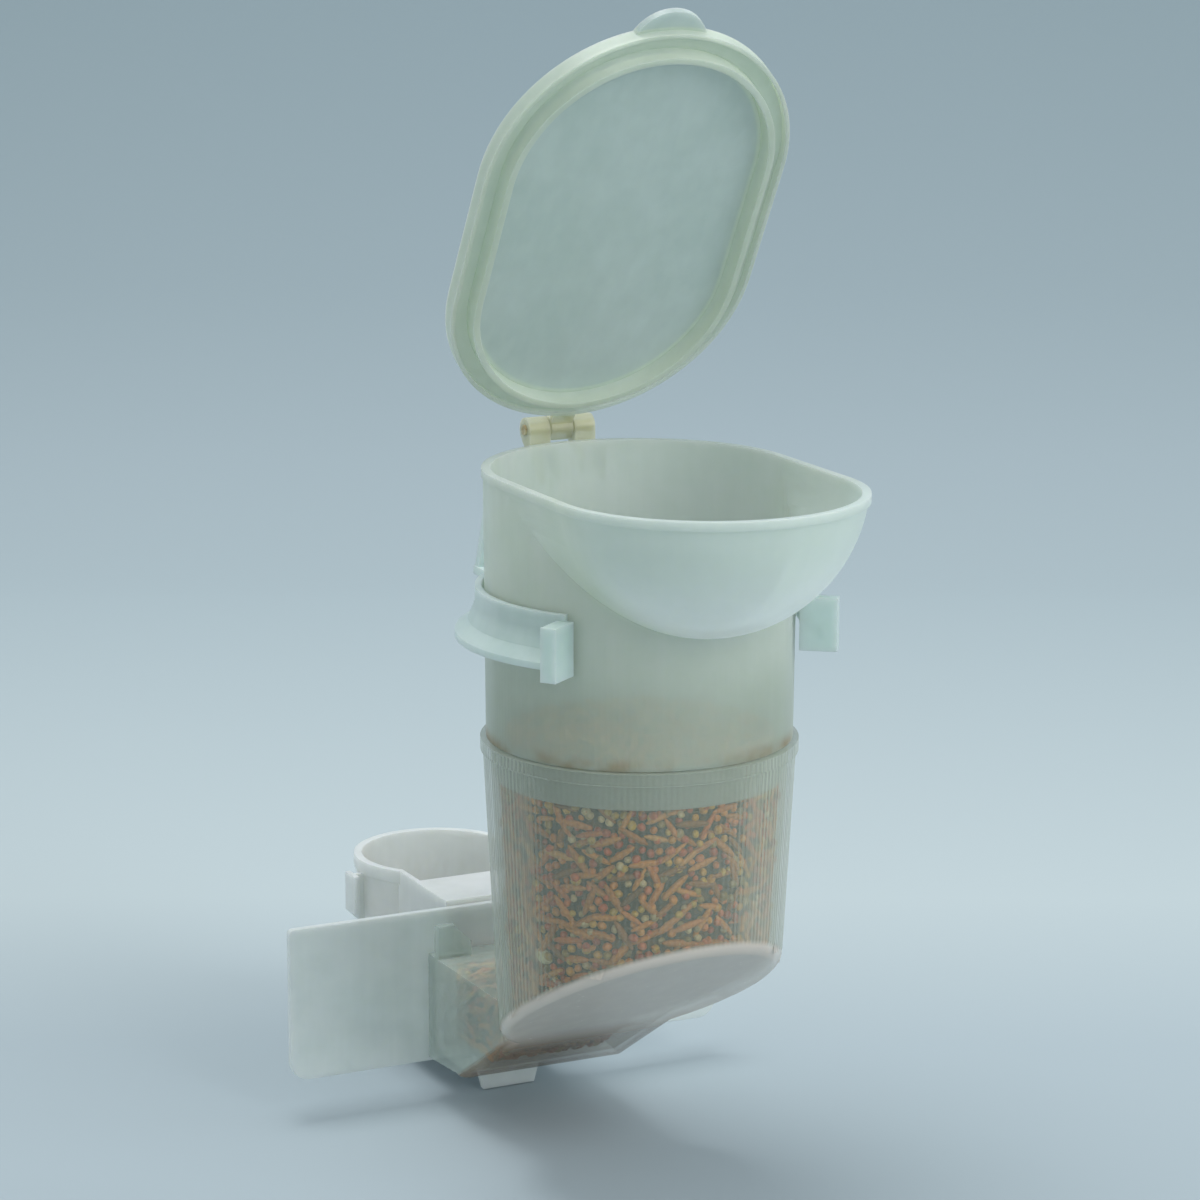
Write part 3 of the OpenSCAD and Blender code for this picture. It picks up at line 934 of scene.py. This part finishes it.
@dataclass
class GrainBed:
    """A charge of loose seed: a core painted dark as shade, under a skin of scattered grains."""

    TONE = "grain_tone"

    node: str
    name: str
    kinds: tuple[GrainKind, ...]
    core_finish: SeedCoreShade
    core_depth_mm: float = 1.1
    seed: int = 7
    seed_step: int = 31
    settle_steps: int = 6
    density: float = 2.0e6
    upright: Point = (0.0, 0.02, 1.0)
    sink_band: Band = (-1.35, -0.85)
    size_band: Band = (0.8, 1.12)

    def _skin(self) -> bpy.types.Object:
        """Makes the surface that the grains are scattered on."""
        copy = merged_copy(self.node)
        mesh = bpy.data.meshes.new(self.name + "_skin")
        bmesh.ops.triangulate(copy, faces=copy.faces[:])
        copy.to_mesh(mesh)
        copy.free()
        return new_object(self.name + "_skin", mesh)

    def _core(self) -> bpy.types.Object:
        """Makes the core, pulled in from the charge's surface."""
        copy = merged_copy(self.node)
        copy.normal_update()
        moves = [v.normal * self.core_depth_mm * MM for v in copy.verts]
        for vert, move in zip(copy.verts, moves):
            vert.co -= move
        mesh = bpy.data.meshes.new(self.name + "_core")
        copy.to_mesh(mesh)
        copy.free()
        shade(mesh)
        return new_object(self.name + "_core", mesh)

    def scatter_tree(self, kind: GrainKind, material: bpy.types.Material) -> bpy.types.NodeTree:
        """Builds the Geometry Nodes tree that scatters one kind of grain.

        Args:
            kind: The kind of grain.
            material: Its finish.

        Returns:
            The tree, with the inputs Surface, Grain, Spacing, Depth, Tilt, Spin and Seed.
        """
        tree = bpy.data.node_groups.new("scatter_" + kind.name, "GeometryNodeTree")
        for name, sort in (("Surface", "Geometry"), ("Grain", "Object"), ("Spacing", "Float"),
                           ("Depth", "Float"), ("Tilt", "Float"), ("Spin", "Float"),
                           ("Seed", "Int")):
            tree.interface.new_socket(name, in_out="INPUT", socket_type="NodeSocket" + sort)
        tree.interface.new_socket("Grains", in_out="OUTPUT", socket_type="NodeSocketGeometry")

        def put(node_type: str, inputs: Mapping[Union[int, str], Any],
                **settings: Any) -> bpy.types.Node:
            """Adds a node.

            Args:
                node_type: The node's type.
                inputs: Values or sockets for its inputs, by name or number.
                **settings: Its settings, set before its inputs.

            Returns:
                The node.
            """
            node = tree.nodes.new(node_type)
            for name, value in settings.items():
                setattr(node, name, value)
            for name, value in inputs.items():
                if isinstance(value, bpy.types.NodeSocket):
                    tree.links.new(value, node.inputs[name])
                else:
                    node.inputs[name].default_value = value
            return node

        def product(a: Any, b: Any) -> bpy.types.NodeSocket:
            """Multiplies two values."""
            return put("ShaderNodeMath", {0: a, 1: b}, operation="MULTIPLY").outputs[0]

        def random(low: Any, high: Any, shift: int) -> bpy.types.NodeSocket:
            """Gives each grain a random number.

            Args:
                low: The least, as a number or a socket.
                high: The most.
                shift: What is added to the seed, so that each value is its own.

            Returns:
                The number.
            """
            seed = put("ShaderNodeMath", {0: given["Seed"], 1: float(shift)}).outputs[0]
            return put("FunctionNodeRandomValue", {2: low, 3: high, "Seed": seed},
                       data_type="FLOAT").outputs[1]

        given = put("NodeGroupInput", {}).outputs
        points = put("GeometryNodeDistributePointsOnFaces",
                     {"Mesh": given["Surface"], "Distance Min": given["Spacing"],
                      "Density Max": self.density, "Seed": given["Seed"]},
                     distribute_method="POISSON").outputs
        stand = put("FunctionNodeAlignRotationToVector", {"Vector": points["Normal"]}, axis="Z")
        level = put("ShaderNodeVectorMath", {0: points["Normal"], 1: self.upright},
                    operation="CROSS_PRODUCT")
        lie = put("FunctionNodeAlignRotationToVector",
                  {"Rotation": stand.outputs["Rotation"], "Vector": level.outputs["Vector"]},
                  axis="X", pivot_axis="Z")
        tilt, spin = given["Tilt"], given["Spin"]
        angles = put("ShaderNodeCombineXYZ", {0: random(product(tilt, -1.0), tilt, 11),
                                              1: random(product(tilt, -1.0), tilt, 12),
                                              2: random(product(spin, -1.0), spin, 13)})
        turn = put("FunctionNodeEulerToRotation", {0: angles.outputs[0]})
        lain = put("FunctionNodeRotateRotation",
                   {"Rotation": lie.outputs["Rotation"], "Rotate By": turn.outputs[0]},
                   rotation_space="LOCAL")
        depth = product(random(*self.sink_band, 14), given["Depth"])
        sink = put("ShaderNodeVectorMath", {0: points["Normal"], "Scale": depth},
                   operation="SCALE")
        move = put("GeometryNodeSetPosition",
                   {"Geometry": points["Points"], "Offset": sink.outputs["Vector"]})
        grain = put("GeometryNodeObjectInfo", {"Object": given["Grain"]})
        place = put("GeometryNodeInstanceOnPoints", {
            "Points": move.outputs["Geometry"], "Instance": grain.outputs["Geometry"],
            "Rotation": lain.outputs["Rotation"], "Scale": random(*self.size_band, 15)})
        tone = put("GeometryNodeStoreNamedAttribute", {
            "Geometry": place.outputs["Instances"], "Name": self.TONE,
            "Value": random(0.0, 1.0, 16)}, data_type="FLOAT", domain="INSTANCE")
        whole = put("GeometryNodeRealizeInstances", {"Geometry": tone.outputs["Geometry"]})
        coat = put("GeometryNodeSetMaterial",
                   {"Geometry": whole.outputs["Geometry"], "Material": material})
        put("NodeGroupOutput", {"Grains": coat.outputs["Geometry"]})
        return tree

    def scatter(self, kind: GrainKind, number: int) -> bpy.types.Object:
        """Scatters one kind of grain over the charge and makes it a plain mesh.

        Args:
            kind: The kind of grain.
            number: The kind's place in the list, which shifts the seed.

        Returns:
            The grains as one piece.
        """
        material = kind.coat.build()
        holder, grain = self._skin(), kind.template()
        modifier = holder.modifiers.new("scatter", "NODES")
        tree = self.scatter_tree(kind, material)
        modifier.node_group = tree
        values = {"Grain": grain, "Spacing": kind.spacing_mm * MM, "Depth": kind.depth_mm * MM,
                  "Tilt": math.radians(kind.tilt_deg), "Spin": math.radians(kind.spin_deg),
                  "Seed": self.seed + self.seed_step * number}
        for socket in tree.interface.items_tree:
            if socket.item_type == "SOCKET" and socket.in_out == "INPUT" and socket.name in values:
                modifier[socket.identifier] = values[socket.name]
        seen = holder.evaluated_get(bpy.context.evaluated_depsgraph_get())
        mesh = bpy.data.meshes.new_from_object(seen)
        holder.modifiers.clear()
        for spare in (holder, grain):
            bpy.data.objects.remove(spare)
        piece = new_object(f"{self.name}_{kind.name}", self._settled(mesh, kind))
        dress(piece, material, Body.BASE, Slot.SEED)
        return piece

    def _settled(self, mesh: bpy.types.Mesh, kind: GrainKind) -> bpy.types.Mesh:
        """Moves grains that poke out of the charge back into it.

        Args:
            mesh: The grains, each with the template's points in a row.
            kind: Their kind.

        Returns:
            The same mesh.
        """
        solid = merged_copy(self.node)
        bmesh.ops.triangulate(solid, faces=solid.faces[:])
        tree = BVHTree.FromBMesh(solid)
        solid.free()
        size = (kind.rings - 1) * kind.sides + 2
        for start in range(0, len(mesh.vertices), size):
            grain = mesh.vertices[start:start + size]
            for _ in range(self.settle_steps):
                worst, push = 0.0, None
                for vert in grain:
                    near, normal, _, _ = tree.find_nearest(vert.co)
                    out = (vert.co - near).dot(normal)
                    if out > worst:
                        worst, push = out, normal * -out
                if push is None:
                    break
                for vert in grain:
                    vert.co += push
        mesh.shade_smooth()
        return mesh

    def single(self, kind: GrainKind, place_mm: Point, turn_deg: float) -> bpy.types.Object:
        """Lays one grain of a kind by itself against the charge's side.

        Args:
            kind: The kind of grain.
            place_mm: Where its middle is.
            turn_deg: Which way it points, seen from above.

        Returns:
            The grain.
        """
        piece = kind.template()
        piece.name = f"{self.name}_{kind.name}"
        turn = (Matrix.Rotation(math.radians(turn_deg), 4, "Z")
                @ Matrix.Rotation(math.pi / 2, 4, "X"))
        piece.data.transform(Matrix.Translation(Vector(place_mm) * MM) @ turn)
        self._settled(piece.data, kind)
        dress(piece, kind.coat.build(), Body.BASE, Slot.SEED)
        return piece

    def build(self) -> None:
        """Makes the core and the grains."""
        core = self._core()
        dress(core, self.core_finish.build(), Body.BASE, Slot.SEED, self.node)
        for number, kind in enumerate(self.kinds):
            self.scatter(kind, number)


# ---------------- studio


@dataclass(frozen=True)
class Camera:
    """The photograph's camera, from a fit to the part's own landmarks."""

    place_mm: Point = (-306.94, -659.15, 229.22)
    yaw_deg: float = 26.31
    pitch_deg: float = 12.56
    roll_deg: float = 0.14
    focal_px: float = 3891.0
    frame_px: float = 1200.0
    sensor_mm: float = 36.0
    clip: Band = (0.01, 20.0)

    def build(self) -> bpy.types.Object:
        """Makes the camera and sets it as the scene's.

        Returns:
            The camera.
        """
        yaw, pitch, roll = (math.radians(a) for a in
                            (self.yaw_deg, self.pitch_deg, self.roll_deg))
        ahead = Vector((math.sin(yaw) * math.cos(pitch), math.cos(yaw) * math.cos(pitch),
                        -math.sin(pitch)))
        level = Vector((math.cos(yaw), -math.sin(yaw), 0.0))
        upright = level.cross(ahead)
        right = math.cos(roll) * level + math.sin(roll) * upright
        up = math.cos(roll) * upright - math.sin(roll) * level
        data = bpy.data.cameras.new("camera")
        data.sensor_width = self.sensor_mm
        data.lens = self.sensor_mm * self.focal_px / self.frame_px
        data.clip_start, data.clip_end = self.clip
        camera = bpy.data.objects.new("camera", data)
        turn = Matrix((right, up, -ahead)).transposed()
        camera.matrix_world = Matrix.Translation(Vector(self.place_mm) * MM) @ turn.to_4x4()
        bpy.context.scene.collection.objects.link(camera)
        bpy.context.scene.camera = camera
        return camera


@dataclass(frozen=True)
class SoftBox:
    """A large soft lamp."""

    name: str
    place: Point
    aim: Point
    size: float
    watts: float
    colour: Colour = (1.0, 1.0, 1.0)

    def build(self) -> bpy.types.Object:
        """Makes the lamp.

        Returns:
            The lamp.
        """
        data = bpy.data.lights.new(self.name, "AREA")
        data.shape, data.size, data.energy, data.color = "DISK", self.size, self.watts, self.colour
        lamp = bpy.data.objects.new(self.name, data)
        lamp.location = self.place
        aim = Vector(self.aim) - Vector(self.place)
        lamp.rotation_euler = aim.to_track_quat("-Z", "Y").to_euler()
        bpy.context.scene.collection.objects.link(lamp)
        return lamp


@dataclass
class Studio:
    """A pale sweep, soft lamps and an even world."""

    floor_z: float = -0.0314
    half: float = 2.5
    front: float = -2.0
    back: float = 0.45
    bend: float = 0.35
    height: float = 2.0
    bend_steps: int = 24
    # Painted light: the paper's tones are brightest just behind the part, darker towards the front
    # and up the backdrop.
    paper: StudioPaper = StudioPaper("studio_paper_painted_light", (
        (0.0, linear(162, 176, 183)), (0.15, linear(170, 184, 191)), (0.27, linear(186, 199, 203)),
        (0.64, linear(178, 193, 199)), (0.79, linear(164, 179, 186)), (0.89, linear(150, 166, 173)),
        (1.0, linear(139, 156, 163))), -0.10, 0.75)
    world: Colour = (0.95, 0.98, 1.0)
    world_strength: float = 0.68
    see_through: int = 32
    lamps: tuple[SoftBox, ...] = (
        SoftBox("key_light", (-0.1, 0.05, 1.1), (0.0, -0.03, 0.04), 0.6, 6.5),
        SoftBox("fill_light", (0.45, -1.05, 0.65), (0.0, -0.03, 0.05), 0.9, 7.5),
    )

    def sweep(self) -> bpy.types.Object:
        """Makes the floor that bends up into a backdrop.

        Returns:
            The sweep.
        """
        path = [(self.front, self.floor_z)]
        for step in range(self.bend_steps + 1):
            angle = math.pi / 2 * step / self.bend_steps
            path.append((self.back + self.bend * math.sin(angle),
                         self.floor_z + self.bend * (1 - math.cos(angle))))
        path.append((self.back + self.bend, self.height))
        shape = bmesh.new()
        rows = [[shape.verts.new((side * self.half, y, z)) for side in (-1, 1)] for y, z in path]
        for a, b in zip(rows, rows[1:]):
            shape.faces.new((a[0], a[1], b[1], b[0]))
        mesh = bpy.data.meshes.new("sweep")
        shape.to_mesh(mesh)
        shape.free()
        mesh.shade_smooth()
        mesh.materials.append(self.paper.build())
        sweep = new_object("sweep", mesh)
        sweep.rotation_euler = (0.0, 0.0, -math.radians(Camera().yaw_deg))
        return sweep

    def build(self) -> None:
        """Makes the sweep, the lamps and the world."""
        self.sweep()
        for lamp in self.lamps:
            lamp.build()
        world = bpy.data.worlds.new("studio_world")
        world.use_nodes = True
        sky = world.node_tree.nodes["Background"]
        sky.inputs["Color"].default_value = (*self.world, 1.0)
        sky.inputs["Strength"].default_value = self.world_strength
        scene = bpy.context.scene
        scene.world = world
        scene.view_settings.view_transform = "Standard"
        scene.cycles.transparent_max_bounces = self.see_through


# ---------------- the part's pieces

MOULDINGS: tuple[Moulding, ...] = (
    Moulding("hopper", "hopper_shell", Body.HOPPER, Slot.HOPPER,
             HopperPlastic("hopper_milky", linear(203, 216, 204), linear(209, 219, 211), 0.6,
                           veil=0.06, rim_band=(0.4, 1.0), rim_alpha=0.85,
                           flute_depth_mm=0.012)),
    Moulding("lid", "lid_shell", Body.LID, Slot.LID,
             LidPlastic("lid_milky", linear(194, 209, 192), linear(200, 213, 198), 0.58,
                        cloud_mm=18.0)),
    Moulding("hinge_pin", "hinge_pin_rod", Body.HOPPER, Slot.PIN,
             AgedPlastic("pin_aged", linear(206, 198, 158), linear(140, 118, 74)), 0.15),
    Moulding("cage_clip", "cage_clip_band", Body.CLIP, Slot.CLIP,
             MouldedPlastic("clip_aqua", linear(200, 222, 217), linear(208, 226, 222), 0.72)),
    CupMoulding("base_cup", "base_cup_shell", Body.BASE, Slot.CUP,
                CupPlastic("cup_clear", linear(192, 202, 187), linear(201, 209, 197), 0.2,
                           roughness=0.16, milk=0.3, veil=0.06, rim_band=(0.6, 0.95),
                           rim_alpha=0.7, flute_high_mm=53.6, flute_back_mm=20.0)),
    Moulding("door_plate", "door_plate_panel", Body.BASE, Slot.PLATE,
             MouldedPlastic("plate_matt", linear(219, 231, 227), linear(225, 234, 231), 0.74,
                            roughness=0.45)),
    Moulding("feed_tray", "feed_tray_shell", Body.BASE, Slot.TRAY,
             TrayPlastic("tray_milky", linear(228, 236, 231), linear(232, 238, 234), 0.62),
             edge_mm=0.2),
)

HUSK_COAT = GrainCoat("oat_husk", (
    (0.0, linear(110, 78, 36)), (0.2, linear(176, 112, 38)), (0.5, linear(212, 142, 50)),
    (0.75, linear(194, 106, 40)), (1.0, linear(216, 166, 84))))
MILLET_COAT = GrainCoat("millet_skin", (
    (0.0, linear(160, 66, 36)), (0.25, linear(204, 96, 44)), (0.5, linear(218, 140, 48)),
    (0.7, linear(210, 176, 66)), (0.85, linear(122, 108, 62)), (1.0, linear(222, 204, 150))),
    roughness=0.35)
BEAN_COAT = GrainCoat("bean_skin", ((0.0, linear(226, 224, 176)), (1.0, linear(226, 224, 176))))

HUSK = GrainKind("husks", 6.2, 1.4, 1.0, 6, 7, 2.8, 0.6, 9.0, 65.0, HUSK_COAT)
MILLET = GrainKind("millet", 1.7, 1.6, 1.5, 6, 5, 1.5, 0.9, 25.0, 180.0, MILLET_COAT)
BEAN = GrainKind("bean", 4.6, 3.0, 2.2, 12, 10, 0.0, 1.1, 0.0, 0.0, BEAN_COAT)


def main() -> None:
    """Builds every piece in order."""
    logging.basicConfig(level=logging.INFO, format="%(name)s: %(message)s")
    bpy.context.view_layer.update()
    Camera().build()
    for moulding in MOULDINGS:
        moulding.build()
    # The core is painted dark as the shade between the grains.
    depth = SeedCoreShade("seed_core_painted_shade", linear(40, 44, 42), linear(96, 74, 44))
    cup = GrainBed("cup_seed", "cup_grain", (HUSK, MILLET), depth)
    cup.build()
    cup.single(BEAN, (-22.7, -61.0, 16.6), -74.0)
    GrainBed("tray_seed", "tray_grain", (HUSK, MILLET), depth, seed=19).build()
    Studio().build()


if __name__ == "__main__":
    main()
